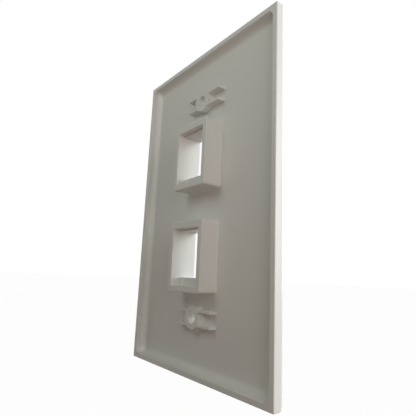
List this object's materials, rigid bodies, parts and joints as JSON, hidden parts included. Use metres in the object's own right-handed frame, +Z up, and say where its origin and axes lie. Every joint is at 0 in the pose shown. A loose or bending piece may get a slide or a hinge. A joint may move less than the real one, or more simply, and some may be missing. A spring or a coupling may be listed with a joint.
{
  "type": "keystone faceplate",
  "caption": "White wall plate with framed openings for snap-in jacks and countersunk screw holes, recessed behind a rim.",
  "frame": {"origin": "middle of the plate, on the plane of the rim that meets the wall", "axes": "+Z up as mounted, +Y from the front face towards the wall, +X to the right seen from the front"},
  "size_m": [0.0794, 0.0103, 0.1238],
  "materials": {
    "faceplate": "white moulded plastic, polished front face, finely textured back"
  },
  "bodies": {
    "root": {"faceplate": "faceplate"}
  },
  "joints": []
}
